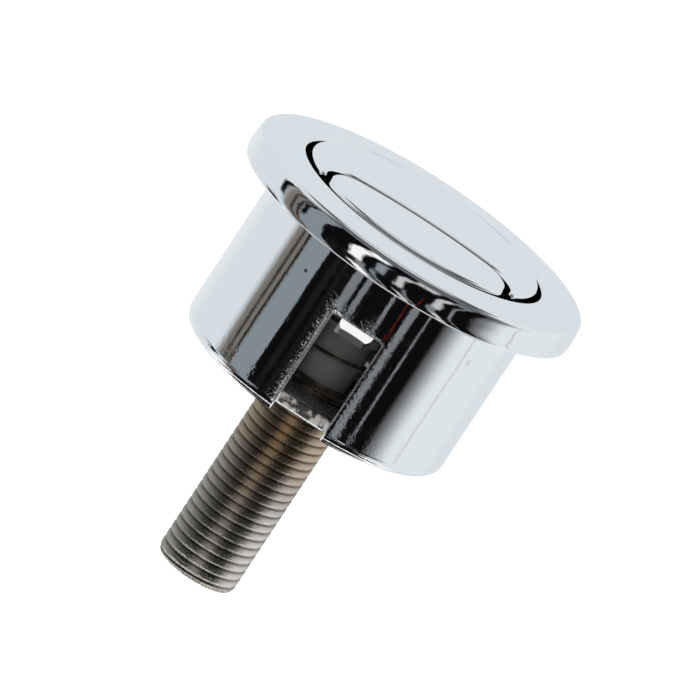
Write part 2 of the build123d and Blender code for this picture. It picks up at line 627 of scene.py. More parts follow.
class Effects:
    """The shader effects that several finishes share, as node groups.

    A hairline field has its lumps per metre along each axis and its turn about each, in radians.
    """

    HAIRLINES = (((160, 2600, 160), (0.4, 0.2, 0.7)), ((2200, 120, 140), (0.3, 0.9, 0.2)))
    HAIRLINE_WIDTH = (0.002, 0.009)
    PATCH_SCALE = 240.0
    PATCH_RANGE = (0.56, 0.68)
    PIN_SCALE = 420.0
    PIN_SIZE = (0.05, 0.10)
    RARE_SCALE = 150.0
    RARE_RANGE = (0.58, 0.66)
    HAZE_SCALE = 90.0
    HAZE_RANGE = (0.35, 0.75)
    LONG_WAVE_SCALE = 55.0
    SHORT_WAVE_SCALE = 420.0
    SHORT_WAVE_SHARE = 0.035
    PANEL_EDGE = (-0.5, 0.5)

    def __init__(self) -> None:
        """Builds the groups."""
        self.marks = self._marks()
        self.ripple = self._ripple()
        self.panel = self._panel()

    @staticmethod
    def _group(name: str, inputs: Mapping[str, str],
               outputs: Sequence[str]) -> tuple[Nodes, bpy.types.NodeOutputs, bpy.types.Node]:
        """Starts a node group.

        Args:
            name: The group's name.
            inputs: The type of each input socket.
            outputs: Names of its number outputs.

        Returns:
            The group's nodes, the values that come in and the node that puts them out.
        """
        tree = bpy.data.node_groups.new(name, "ShaderNodeTree")
        for key, kind in inputs.items():
            tree.interface.new_socket(key, in_out="INPUT", socket_type=kind)
        for key in outputs:
            tree.interface.new_socket(key, in_out="OUTPUT", socket_type="NodeSocketFloat")
        nodes = Nodes(tree)
        return nodes, nodes.add("NodeGroupInput").outputs, nodes.add("NodeGroupOutput")

    def _marks(self) -> bpy.types.NodeTree:
        """Makes the marks of handling: hairline scratches, pin specks and a patchy haze.

        Returns:
            The group.
        """
        nodes, given, result = self._group("handling_marks", {"Position": "NodeSocketVector"},
                                           ("Scratch", "Speck", "Haze"))
        position = given["Position"]
        lines = []
        for scale, turn in self.HAIRLINES:
            field = nodes.noise(nodes.stretch(position, scale, turn), 1.0, detail=2.0)
            band = nodes.math("ABSOLUTE", nodes.math("SUBTRACT", field, NOISE_MIDDLE))
            lines.append(nodes.ramp(band, *self.HAIRLINE_WIDTH, 1.0, 0.0))
        patch = nodes.ramp(nodes.noise(position, self.PATCH_SCALE, detail=2.0), *self.PATCH_RANGE)
        scratch = nodes.math("MULTIPLY", nodes.math("MAXIMUM", *lines), patch)
        cells = nodes.add("ShaderNodeTexVoronoi", {"Vector": position, "Scale": self.PIN_SCALE})
        pins = nodes.ramp(cells.outputs["Distance"], *self.PIN_SIZE, 1.0, 0.0)
        rare = nodes.ramp(nodes.noise(position, self.RARE_SCALE, detail=1.0), *self.RARE_RANGE)
        cloud = nodes.noise(position, self.HAZE_SCALE, detail=5.0, roughness=0.6)
        nodes.feed(result, {
            "Scratch": scratch,
            "Speck": nodes.math("MULTIPLY", pins, rare),
            "Haze": nodes.ramp(cloud, *self.HAZE_RANGE),
        })
        return nodes.tree

    def _ripple(self) -> bpy.types.NodeTree:
        """Makes the long and short waves of a polished surface.

        Returns:
            The group.
        """
        nodes, given, result = self._group("polish_ripple", {"Position": "NodeSocketVector"}, ("Height",))
        long_wave = nodes.noise(given["Position"], self.LONG_WAVE_SCALE, detail=1.0)
        short_wave = nodes.noise(given["Position"], self.SHORT_WAVE_SCALE, detail=2.0)
        height = nodes.math("MULTIPLY_ADD", short_wave, self.SHORT_WAVE_SHARE, long_wave)
        nodes.feed(result, {"Height": height})
        return nodes.tree

    def _panel(self) -> bpy.types.NodeTree:
        """Makes the mask of one soft-edged studio panel, from a direction's azimuth and elevation.

        Returns:
            The group.
        """
        keys = ("Azimuth", "Elevation", "Centre", "Half Width", "Low", "High", "Edge", "Level Edge")
        inputs = dict.fromkeys(keys, "NodeSocketFloat")
        nodes, given, result = self._group("studio_panel", inputs, ("Mask",))
        away = nodes.math("SUBTRACT", given["Azimuth"], given["Centre"])
        away = nodes.math("WRAP", away, 180.0, -180.0)
        inside = nodes.math("SUBTRACT", given["Half Width"], nodes.math("ABSOLUTE", away))
        above = nodes.math("SUBTRACT", given["Elevation"], given["Low"])
        below = nodes.math("SUBTRACT", given["High"], given["Elevation"])
        level = nodes.math("DIVIDE", nodes.math("MINIMUM", above, below), given["Level Edge"])
        across = nodes.math("DIVIDE", inside, given["Edge"])
        masks = [nodes.ramp(depth, *self.PANEL_EDGE) for depth in (across, level)]
        nodes.feed(result, {"Mask": nodes.math("MULTIPLY", *masks)})
        return nodes.tree


class Finish(ABC):
    """A surface finish that can be made into a material."""

    name: str

    def material(self, effects: Effects) -> bpy.types.Material:
        """Makes the material.

        Args:
            effects: The shared effects.

        Returns:
            The material.
        """
        material, nodes = start_material(self.name)
        position = nodes.add("ShaderNodeTexCoord").outputs["Object"]
        shader = nodes.add("ShaderNodeBsdfPrincipled", self.sockets(nodes, position, effects))
        nodes.add("ShaderNodeOutputMaterial", {"Surface": shader.outputs[0]})
        return material

    @abstractmethod
    def sockets(self, nodes: Nodes, position: bpy.types.NodeSocket, effects: Effects) -> dict[str, Value]:
        """Builds what feeds the surface shader.

        Args:
            nodes: The material's nodes.
            position: The place on the surface.
            effects: The shared effects.

        Returns:
            A value for each named input of the shader.
        """


@dataclass(frozen=True)
class ChromePlate(Finish):
    """Bright chrome plate: near mirror, with faint waves, hairlines and pin specks."""

    name: str
    colour: Colour = (0.90, 0.91, 0.92, 1.0)
    speck_colour: Colour = (0.10, 0.10, 0.11, 1.0)
    roughness: float = 0.03
    haze_roughness: float = 0.02
    scratch_roughness: float = 0.12
    speck_strength: float = 0.5
    wave_height: float = 6e-5

    def sockets(self, nodes: Nodes, position: bpy.types.NodeSocket, effects: Effects) -> dict[str, Value]:
        """Builds what feeds the surface shader.

        Args:
            nodes: The material's nodes.
            position: The place on the surface.
            effects: The shared effects.

        Returns:
            A value for each named input of the shader.
        """
        marks = nodes.group(effects.marks, {"Position": position})
        ripple = nodes.group(effects.ripple, {"Position": position})["Height"]
        speck = nodes.math("MULTIPLY", marks["Speck"], self.speck_strength)
        hazy = nodes.math("MULTIPLY_ADD", marks["Haze"], self.haze_roughness, self.roughness)
        rough = nodes.math("MULTIPLY_ADD", marks["Scratch"], self.scratch_roughness, hazy)
        return {
            "Base Color": nodes.mix(speck, self.colour, self.speck_colour),
            "Metallic": 1.0,
            "Roughness": rough,
            "Normal": nodes.bump(ripple, self.wave_height),
        }


@dataclass(frozen=True)
class Flaw:
    """A small flaw in the plate, in millimetres, and how much it darkens."""

    middle: Point
    radius: float
    darkness: float


@dataclass(frozen=True)
class HousingChrome(ChromePlate):
    """Chrome plate of the housing: grainy along the slots' edges and dull where the floor is cut."""

    slot_half: float = SLOT_HALF
    slot_top: float = SLOT_TOP
    chord: float = SLOT_CHORD
    floor_under: float = CUP_BOTTOM
    halo: float = 0.7
    bare: float = 0.75
    pitted_near: float = 0.3
    pitted_reach: float = 4.5
    pitted_far: float = 0.22
    pitted_foot: float = 0.8
    pitted_low: float = -33.0
    pitted_high: float = -27.0
    smooth_low: float = 4.6
    smooth_high: float = 5.8
    pit_height: float = 2.6e-5
    pit_scale: float = 1500.0
    grain_scale: float = 3400.0
    lump_scale: float = 1500.0
    grain_range: Pair = (0.42, 0.58)
    halo_ragged: float = 2.4
    halo_shift: float = -0.9
    halo_fade: Pair = (-0.3, 0.5)
    blotch_scale: float = 520.0
    blotch_lean: float = 40.0
    blotch_range: Pair = (0.30, 0.46)
    flaw_fade: Pair = (1.3, 1.7)
    cut_inner: Pair = (-0.5, -0.3)
    cut_outer: Pair = (0.15, 0.5)
    cut_side: Pair = (-0.6, -0.4)
    spot_roughness: float = 0.55
    cut_roughness: float = 0.4
    cut_light: Colour = (0.50, 0.47, 0.44, 1.0)
    cut_dark: Colour = (0.04, 0.036, 0.034, 1.0)
    flaws: tuple[Flaw, ...] = (
        Flaw((-15.3, -26.7, -8.8), 0.42, 0.95),
        Flaw((22.8, -20.6, -8.1), 0.65, 0.2),
    )

    def sockets(self, nodes: Nodes, position: bpy.types.NodeSocket, effects: Effects) -> dict[str, Value]:
        """Builds what feeds the surface shader.

        Args:
            nodes: The material's nodes.
            position: The place on the surface.
            effects: The shared effects.

        Returns:
            A value for each named input of the shader.
        """
        made = super().sockets(nodes, position, effects)
        x, y, z = nodes.split(position)
        across = nodes.math("SUBTRACT", nodes.math("ABSOLUTE", x), self.slot_half * MM)
        above = nodes.math("SUBTRACT", z, self.slot_top * MM)
        away = nodes.math("MAXIMUM", across, above)
        grain = nodes.noise(position, self.grain_scale, roughness=0.65)
        beside = nodes.fade(away, self.pitted_near, self.pitted_reach, 1.0, self.pitted_far)
        foot = nodes.fade(z, self.pitted_low, self.pitted_high, self.pitted_foot)
        under_top = nodes.fade(z, self.smooth_low, self.smooth_high)
        pitted = nodes.math("MULTIPLY", nodes.math("MAXIMUM", beside, foot), under_top)
        dents = nodes.math("MULTIPLY", nodes.noise(position, self.pit_scale, detail=2.0), pitted)
        made["Normal"] = nodes.bump(dents, self.pit_height, made["Normal"])
        lumps = nodes.noise(position, self.lump_scale, detail=4.0, roughness=0.65)
        halo = self.halo * MM
        reach = nodes.math("MULTIPLY_ADD", lumps, self.halo_ragged * halo, self.halo_shift * halo)
        near = nodes.fade(nodes.math("SUBTRACT", away, reach), *self.halo_fade)
        spotted = nodes.math("MULTIPLY", near, nodes.ramp(grain, *self.grain_range))
        dull = self._dull(nodes, across, nodes.math("ABSOLUTE", y), z)
        rough = nodes.math("MULTIPLY_ADD", spotted, self.spot_roughness, made["Roughness"])
        made["Roughness"] = nodes.math("MULTIPLY_ADD", dull, self.cut_roughness, rough)
        made["Metallic"] = nodes.math("MULTIPLY_ADD", dull, -self.bare, 1.0)
        stain = nodes.noise(position, self.blotch_scale, detail=5.0, roughness=0.65)
        leaning = nodes.math("MULTIPLY_ADD", across, self.blotch_lean, stain)
        blotch = nodes.ramp(leaning, *self.blotch_range)
        mottle_and_glint = nodes.mix(blotch, self.cut_dark, self.cut_light)
        made["Base Color"] = nodes.mix(dull, made["Base Color"], mottle_and_glint)
        for flaw in self.flaws:
            mask = self._flaw(nodes, position, grain, flaw)
            made["Base Color"] = nodes.mix(mask, made["Base Color"], self.speck_colour)
        return made

    def _flaw(self, nodes: Nodes, position: Value, grain: Value, flaw: Flaw) -> bpy.types.NodeSocket:
        """Finds one flaw in the plate.

        Args:
            nodes: The material's nodes.
            position: Where a place lies.
            grain: A fine noise that frays the flaw's edge.
            flaw: The flaw.

        Returns:
            Its mask.
        """
        middle = tuple(part * MM for part in flaw.middle)
        away = nodes.add("ShaderNodeVectorMath", {0: position, 1: middle}, operation="DISTANCE")
        ragged = nodes.math("MULTIPLY_ADD", grain, flaw.radius * MM, away.outputs["Value"])
        low, high = (share * flaw.radius for share in self.flaw_fade)
        return nodes.fade(ragged, low, high, flaw.darkness)

    def _dull(self, nodes: Nodes, across: Value, depth: Value, z: Value) -> bpy.types.NodeSocket:
        """Finds the flat where a slot cuts the floor.

        Args:
            nodes: The material's nodes.
            across: How far a place lies outside a slot's flat sides.
            depth: Its distance from the middle, along Y.
            z: Its level.

        Returns:
            The mask of that flat.
        """
        beyond = nodes.math("SUBTRACT", depth, self.chord * MM)
        inward = nodes.fade(beyond, *self.cut_outer)
        outward = nodes.fade(beyond, *self.cut_inner, 0.0, 1.0)
        below = nodes.math("SUBTRACT", self.floor_under * MM, z)
        inside = nodes.fade(nodes.math("MAXIMUM", across, below), *self.cut_side)
        return nodes.math("MULTIPLY", nodes.math("MULTIPLY", inward, outward), inside)


@dataclass(frozen=True)
class NickelPlate(Finish):
    """Nickel on brass: warm towards the housing and neutral lower down. Painted shade darkens the thread's
    valleys, the upper part of each land and the part inside the cup, and a painted glint lines each land's
    lower edge.
    """

    name: str
    warm: Colour = (0.62, 0.52, 0.40, 1.0)
    neutral: Colour = (0.68, 0.665, 0.64, 1.0)
    # Colour of the painted shade in the valleys, on the upper part of each land and inside the cup; also
    # of the dark specks at the stud's end
    valley: Colour = (0.24, 0.20, 0.165, 1.0)
    warm_level: float = -46.0
    neutral_level: float = -64.0
    # Colour of the painted glint along each land's lower edge
    edge: Colour = (0.92, 0.90, 0.87, 1.0)
    crest_radius: float = 8.9
    valley_radius: float = 8.6
    floor_level: float = -36.6
    pitch: float = THREAD_PITCH
    edge_level: float = -84.6
    edge_width: float = 0.16
    end_level: float = -80.6
    end_fade: float = 0.8
    end_ragged: float = 1.6
    end_roughness: float = 0.2
    edge_roughness: float = 0.3
    tint_ragged: float = 9.0
    blotch_scale: float = 380.0
    blotch_range: Pair = (0.25, 0.6)
    # Share of painted shade in the valleys, as the blotch noise varies
    valley_shade: Pair = (0.55, 0.2)
    flank_range: Pair = (0.25, 0.75)
    # Strength of the painted shade on the upper part of each land
    flank_shade: float = 0.4
    indoor_fade: float = 0.2
    # Strength of the painted shade on the collar and shank inside the cup
    indoor_shade: float = 0.85
    grain_stretch: Point = (0.25, 0.25, 1.0)
    grain_scale: float = 2200.0
    grain_range: Pair = (0.25, 0.75)
    roughness: Pair = (0.13, 0.24)
    glint_range: Pair = (0.35, 0.6)
    glint: Pair = (0.25, 0.9)
    speck_scale: float = 2600.0
    speck_dark: Pair = (0.42, 0.56)
    speck_light: Pair = (0.44, 0.36)
    speck_height: float = 0.4
    bump_height: float = 1.5e-4

    def sockets(self, nodes: Nodes, position: bpy.types.NodeSocket, effects: Effects) -> dict[str, Value]:
        """Builds what feeds the surface shader.

        Args:
            nodes: The material's nodes.
            position: The place on the surface.
            effects: The shared effects, which are not used here.

        Returns:
            A value for each named input of the shader.
        """
        x, y, z = nodes.split(position)
        squares = [nodes.math("POWER", axis, 2.0) for axis in (x, y)]
        radius = nodes.math("SQRT", nodes.math("ADD", *squares))
        blotch = nodes.noise(position, self.blotch_scale, detail=4.0, roughness=0.6)
        level = nodes.math("MULTIPLY_ADD", blotch, self.tint_ragged * MM, z)
        lift = self.tint_ragged / 2
        cool = nodes.fade(level, self.warm_level + lift, self.neutral_level + lift, 0.0, 1.0)
        metal = nodes.mix(cool, self.warm, self.neutral)
        # Painted shade: darker towards the roots of the thread
        valley_shade_mask = nodes.fade(radius, self.valley_radius, self.crest_radius)
        shade_and_specks = nodes.math("MULTIPLY", valley_shade_mask, nodes.ramp(blotch, *self.blotch_range, *self.valley_shade))
        phase = self._phase(nodes, x, y, z)
        # Painted shade: each land darker towards its upper flank
        flank = nodes.ramp(phase, *self.flank_range, 0.0, self.flank_shade)
        shade_and_specks = nodes.math("MAXIMUM", shade_and_specks, flank)
        # Painted shade on the collar and shank inside the cup
        low, high = (self.floor_level + sign * self.indoor_fade for sign in (-1, 1))
        indoors = nodes.math("MULTIPLY", nodes.fade(z, low, high, 0.0, 1.0), self.indoor_shade)
        shade_and_specks = nodes.math("MAXIMUM", shade_and_specks, indoors)
        drawn = nodes.stretch(position, self.grain_stretch)
        grain = nodes.noise(drawn, self.grain_scale, detail=4.0, roughness=0.6)
        # Painted glint: a light line along each land's lower edge
        edge = nodes.ramp(phase, 0.0, self.edge_width / self.pitch, 1.0, 0.0)
        mottle_and_glint = nodes.math("MULTIPLY", edge, nodes.ramp(grain, *self.glint_range, *self.glint))
        speck = nodes.noise(position, self.speck_scale, roughness=0.65)
        ragged = nodes.math("MULTIPLY_ADD", blotch, self.end_ragged * MM, z)
        end = nodes.fade(ragged, self.end_level, self.end_level + self.end_fade)
        dark = nodes.math("MULTIPLY", end, nodes.ramp(speck, *self.speck_dark))
        light = nodes.math("MULTIPLY", end, nodes.ramp(speck, *self.speck_light))
        # The real dark and light specks at the stud's rough end join the painted shade and the painted
        # glint
        shade_and_specks = nodes.math("MAXIMUM", shade_and_specks, dark)
        mottle_and_glint = nodes.math("MAXIMUM", mottle_and_glint, light)
        rough = nodes.ramp(grain, *self.grain_range, *self.roughness)
        rough = nodes.math("MULTIPLY_ADD", end, self.end_roughness, rough)
        height = nodes.math("MULTIPLY_ADD", speck, self.speck_height, grain)
        return {
            "Base Color": nodes.mix(mottle_and_glint, nodes.mix(shade_and_specks, metal, self.valley), self.edge),
            "Metallic": 1.0,
            "Roughness": nodes.math("MULTIPLY_ADD", mottle_and_glint, self.edge_roughness, rough),
            "Normal": nodes.bump(height, self.bump_height),
        }

    def _phase(self, nodes: Nodes, x: Value, y: Value, z: Value) -> bpy.types.NodeSocket:
        """Finds where a place lies in the thread's pitch.

        Args:
            nodes: The material's nodes.
            x: The place's x.
            y: Its y.
            z: Its level.

        Returns:
            The share of the pitch above the land's lower edge.
        """
        turns = nodes.math("DIVIDE", nodes.azimuth(x, y), 360.0)
        risen = nodes.math("DIVIDE", nodes.math("SUBTRACT", z, self.edge_level * MM), self.pitch * MM)
        return nodes.math("FRACT", nodes.math("SUBTRACT", risen, turns))


@dataclass(frozen=True)
class MouldedPlastic(Finish):
    """Dark grey moulded plastic with a fine satin grain."""

    name: str
    colour: Colour = (0.19, 0.183, 0.176, 1.0)
    pale: Colour = (0.23, 0.222, 0.214, 1.0)
    roughness: float = 0.22
    haze_roughness: float = 0.12
    specular: float = 0.45
    cloud_stretch: Point = (1.0, 1.0, 0.3)
    cloud_scale: float = 260.0
    cloud_range: Pair = (0.35, 0.7)
    grain_scale: float = 5200.0
    grain_height: float = 6e-6

    def sockets(self, nodes: Nodes, position: bpy.types.NodeSocket, effects: Effects) -> dict[str, Value]:
        """Builds what feeds the surface shader.

        Args:
            nodes: The material's nodes.
            position: The place on the surface.
            effects: The shared effects.

        Returns:
            A value for each named input of the shader.
        """
        marks = nodes.group(effects.marks, {"Position": position})
        drawn = nodes.stretch(position, self.cloud_stretch)
        cloud = nodes.noise(drawn, self.cloud_scale, detail=4.0, roughness=0.6)
        grain = nodes.noise(position, self.grain_scale, detail=2.0)
        return {
            "Base Color": nodes.mix(nodes.ramp(cloud, *self.cloud_range), self.colour, self.pale),
            "Roughness": nodes.math("MULTIPLY_ADD", marks["Haze"], self.haze_roughness, self.roughness),
            "Specular IOR Level": self.specular,
            "Normal": nodes.bump(grain, self.grain_height),
        }


@dataclass(frozen=True)
class SpringSteel(Finish):
    """Drawn spring wire, browned by heat."""

    name: str
    dark: Colour = (0.085, 0.072, 0.058, 1.0)
    light: Colour = (0.26, 0.22, 0.17, 1.0)
    metallic: float = 0.85
    roughness: Pair = (0.24, 0.42)
    cloud_scale: float = 300.0
    cloud_range: Pair = (0.4, 0.7)
    drawn_stretch: Point = (1.0, 1.0, 12.0)
    drawn_scale: float = 900.0
    drawn_range: Pair = (0.3, 0.7)
    drawn_height: float = 1e-5

    def sockets(self, nodes: Nodes, position: bpy.types.NodeSocket, effects: Effects) -> dict[str, Value]:
        """Builds what feeds the surface shader.

        Args:
            nodes: The material's nodes.
            position: The place on the surface.
            effects: The shared effects, which are not used here.

        Returns:
            A value for each named input of the shader.
        """
        cloud = nodes.noise(position, self.cloud_scale)
        drawn = nodes.noise(nodes.stretch(position, self.drawn_stretch), self.drawn_scale)
        return {
            "Base Color": nodes.mix(nodes.ramp(cloud, *self.cloud_range), self.dark, self.light),
            "Metallic": self.metallic,
            "Roughness": nodes.ramp(drawn, *self.drawn_range, *self.roughness),
            "Normal": nodes.bump(drawn, self.drawn_height),
        }


@dataclass
class Housing:
    """Flange and cup in one piece, with a slot at the front and one at the rear."""

    material: bpy.types.Material
    flange_under_radius: float = 38.92
    flange_mid_radius: float = 39.11
    flange_top_radius: float = 38.55
    rim_height: float = 6.2
    top: float = 6.95
    bore: float = 28.4
    radius: float = 30.75
    bottom: float = CUP_BOTTOM
    floor_top: float = CUP_FLOOR
    hole: float = 9.25
    rim_round: float = 0.8
    side_bulge: float = 2.2
    under_round: float = 0.45
    bore_round: float = 0.9
    bottom_round: float = 2.7
    slot_half: float = SLOT_HALF
    slot_top: float = SLOT_TOP
    chord: float = SLOT_CHORD
    slot_round: float = 0.8
    slot_edge: float = 0.38
    corner_steps: int = 6
    edge_steps: int = 3
    margin: float = 0.9
    columns: int = 192
    cut_degrees: float = 11.25
    reach_degrees: float = 45.0

    def build(self) -> bpy.types.Object:
        """Turns the housing, cuts its slots and rounds their edges.

        Returns:
            The finished piece.
        """
        shape = Shape("housing")
        ring = math.hypot(self.slot_half, self.chord)
        shape.lathe((
            Corner(self.bore, self.top, self.bore_round),
            Corner(self.flange_top_radius, self.rim_height, self.rim_round),
            Corner(self.flange_mid_radius, self.rim_height / 2, self.side_bulge),
            Corner(self.flange_under_radius, 0, self.under_round),
            Corner(self.radius, 0),
            Corner(self.radius, self.slot_top + self.margin),
            Corner(self.radius, self.slot_top),
            Corner(self.radius, self.bottom, self.bottom_round),
            Corner(ring, self.bottom),
            Corner(self.hole, self.bottom),
            Corner(self.hole, self.floor_top),
            Corner(ring, self.floor_top),
            Corner(self.bore, self.floor_top, self.bore_round),
            Corner(self.bore, self.slot_top),
            Corner(self.bore, self.slot_top + self.margin),
        ), self.columns)
        for side in Side:
            self._line_up(shape.bm, side, ring)
            self._open(shape, side)
        self._soften(shape)
        return shape.finish(self.material, Body.HOUSING)

    def _line_up(self, bm: bmesh.types.BMesh, side: Side, ring: float) -> None:
        """Slides the columns beside a slot so that two of them run along its flat sides.

        Args:
            bm: The turned housing.
            side: The slot's side.
            ring: Radius of the row that becomes the slot's inner end.
        """
        cut = math.radians(self.cut_degrees)
        reach = math.radians(self.reach_degrees)
        for vert in bm.verts:
            radius = math.hypot(vert.co.x, vert.co.y)
            angle = math.atan2(vert.co.x, side * vert.co.y)
            if abs(angle) > reach or radius < ring - WELD or vert.co.z > self.slot_top + WELD:
                continue
            if abs(angle) < cut + WELD:
                x = self.slot_half * angle / cut
                on_ring = radius < ring + WELD
                y = self.chord if on_ring else math.sqrt(radius**2 - x**2)
            else:
                edge = math.asin(self.slot_half / radius)
                turned = edge + (abs(angle) - cut) * (reach - edge) / (reach - cut)
                x = math.copysign(radius * math.sin(turned), angle)
                y = radius * math.cos(turned)
            vert.co.x = x
            vert.co.y = side * y

    def _open(self, shape: Shape, side: Side) -> None:
        """Takes the wall out of a slot and closes the cut all round.

        Args:
            shape: The housing.
            side: The slot's side.
        """
        bm = shape.bm
        gone = []
        for face in bm.faces:
            centre = face.calc_center_median()
            beyond = side * centre.y > self.chord - NEAR
            if beyond and abs(centre.x) < self.slot_half and centre.z < self.slot_top:
                gone.append(face)
        bmesh.ops.delete(bm, geom=gone, context="FACES")
        rim = [edge for edge in bm.edges if edge.is_boundary]
        level = [edge for edge in rim if abs(edge.verts[0].co.x - edge.verts[1].co.x) > NEAR]
        top = [edge for edge in level if abs(edge.verts[0].co.z - self.slot_top) < NEAR]
        chord = [edge for edge in level if edge not in top]
        faces = []
        for strip in (top, chord):
            faces += bmesh.ops.bridge_loops(bm, edges=strip)["faces"]
        for x in (-self.slot_half, self.slot_half):
            ends = [edge for edge in bm.edges if edge.is_boundary
                    and all(abs(vert.co.x - x) < NEAR for vert in edge.verts)]
            faces += bmesh.ops.contextual_create(bm, geom=ends)["faces"]
        for face in faces:
            face.material_index = 1

    def _soften(self, shape: Shape) -> None:
        """Rounds the slots' upper corners and then all their edges.

        Args:
            shape: The housing with its slots open.
        """
        bm = shape.bm
        bmesh.ops.recalc_face_normals(bm, faces=bm.faces[:])
        corners = [edge for edge in bm.edges
                   if all(face.material_index for face in edge.link_faces)
                   and all(abs(abs(vert.co.x) - self.slot_half) < NEAR for vert in edge.verts)
                   and all(abs(vert.co.z - self.slot_top) < NEAR for vert in edge.verts)]
        shape.bevel(corners, self.slot_round, self.corner_steps)
        edges = [edge for edge in bm.edges if len({face.material_index for face in edge.link_faces}) == 2]
        shape.bevel(edges, self.slot_edge, self.edge_steps)
        for face in bm.faces:
            face.material_index = 0


@dataclass
class ThreadedStud:
    """The stud below the cup: a tube with a metric thread, a plain shank and a collar."""

    material: bpy.types.Material
    radius: float = 8.98
    depth: float = 82.0
    bore: float = 6.2
    pitch: float = THREAD_PITCH
    thread_depth: float = 0.42
    land: float = 1.45
    upper_flank: float = 0.15
    land_round: float = 0.55
    land_steps: int = 4
    spare_turns: int = 3
    lead_turns: float = 1.5
    chamfer: float = 0.7
    thread_top: float = -36.95
    shank_radius: float = 9.2
    floor_top: float = CUP_FLOOR
    collar_radius: float = 9.8
    collar_top: float = -33.15
    collar_round: float = 0.3
    columns: int = 96

    def build(self) -> bpy.types.Object:
        """Turns the thread one pitch per turn and closes it into a tube.

        Returns:
            The finished piece.
        """
        shape = Shape("threaded_stud")
        self._thread(shape)
        self._tube(shape)
        return shape.finish(self.material, Body.HOUSING, sharp=70.0)

    def _thread(self, shape: Shape) -> None:
        """Spins a zigzag into a thread and trims it to length.

        Args:
            shape: The empty stud.
        """
        inner = self.radius - self.thread_depth
        lower_flank = self.pitch - self.land - self.upper_flank
        turns = math.ceil((self.depth + self.thread_top) / self.pitch) + self.spare_turns
        points = []
        for turn in range(turns):
            level = -self.depth + (turn - self.lead_turns) * self.pitch
            points.append((0, -inner, level))
            points.append((0, -self.radius, level + lower_flank))
            points.append((0, -self.radius, level + lower_flank + self.land))
        verts = shape.wire(points, closed=False)
        for low in verts[1::len(points) // turns]:
            shape.round_corner(low, self.land_round, self.land_steps)
        shape.turn(shape.loose(), self.columns, rise=self.pitch)
        shape.weld(SEAM)
        bm = shape.bm
        for level, up in ((-self.depth, -1), (self.thread_top, 1)):
            bmesh.ops.bisect_plane(bm, geom=bm.verts[:] + bm.edges[:] + bm.faces[:], dist=WELD,
                                   plane_co=(0, 0, level), plane_no=(0, 0, up), clear_outer=True)
        for vert in bm.verts:
            limit = self.radius - self.chamfer + (vert.co.z + self.depth)
            radius = math.hypot(vert.co.x, vert.co.y)
            if radius > limit:
                vert.co.x *= limit / radius
                vert.co.y *= limit / radius

    def _tube(self, shape: Shape) -> None:
        """Adds the shank, the collar and the bore, and fills both ends of the thread.

        Args:
            shape: The trimmed thread.
        """
        shape.lathe((
            Corner(self.shank_radius, self.thread_top),
            Corner(self.shank_radius, self.floor_top),
            Corner(self.collar_radius, self.floor_top),
            Corner(self.collar_radius, self.collar_top, self.collar_round),
            Corner(self.bore, self.collar_top, self.collar_round),
            Corner(self.bore, -self.depth),
        ), self.columns, closed=False)
        bm = shape.bm
        for level in (-self.depth, self.thread_top):
            rims = [edge for edge in bm.edges if edge.is_boundary
                    and all(abs(vert.co.z - level) < NEAR for vert in edge.verts)]
            bmesh.ops.triangle_fill(bm, edges=rims, use_beauty=True)


@dataclass
class ButtonOutline(ABC):
    """Sizes that both buttons' outlines share, and the centres that follow from them."""

    flank: float = 21.0
    far: float = -1.95
    bow: float = 58.5
    far_corner: float = 8.0
    radius: float = 27.2
    spacing: float = 0.55

    def _bow(self, growth: float) -> tuple[Pair, Pair, float]:
        """Finds the arcs of the bowed side between the buttons.

        Args:
            growth: How far that side is moved outwards from the half flush button.

        Returns:
            Centres of the bow and of its right-hand corner, and half the bow's angle in degrees.
        """
        bow = self.bow + growth
        corner = self.far_corner + growth
        x = self.flank + growth - corner
        bow_y = self.far + growth - bow
        y = bow_y + math.sqrt((bow - corner)**2 - x**2)
        return (0.0, bow_y), (x, y), math.degrees(math.atan2(x, y - bow_y))

    @abstractmethod
    def draw(self, shape: Shape, level: float, inset: float) -> bmesh.types.BMFace:
        """Draws the outline.

        Args:
            shape: The shape that it belongs to.
            level: Its height.
            inset: How far it is shrunk on all sides.

        Returns:
            The level face inside it.
        """


@dataclass
class HalfOutline(ButtonOutline):
    """The half flush button from above."""

    near_corner: float = 4.0

    def draw(self, shape: Shape, level: float, inset: float) -> bmesh.types.BMFace:
        """Draws the outline.

        Args:
            shape: The shape that it belongs to.
            level: Its height.
            inset: How far it is shrunk on all sides.

        Returns:
            The level face inside it.
        """
        bow, corner, half = self._bow(-inset)
        flank = self.flank - inset
        near = self.near_corner - inset
        near_x = flank - near
        near_y = -math.sqrt((self.radius - inset - near)**2 - near_x**2)
        slant = math.degrees(math.atan2(-near_y, near_x))
        reach = self.bow - inset
        start = (reach * math.sin(math.radians(half)), bow[1] + reach * math.cos(math.radians(half)))
        pen = Pen(shape, start, level, self.spacing)
        pen.arc(bow, 2 * half)
        pen.arc((-corner[0], corner[1]), 90 - half)
        pen.line(-flank, near_y)
        pen.arc((-near_x, near_y), slant)
        pen.arc((0, 0), 180 - 2 * slant)
        pen.arc((near_x, near_y), slant)
        pen.line(flank, corner[1])
        pen.arc(corner, 90 - half)
        return pen.close()


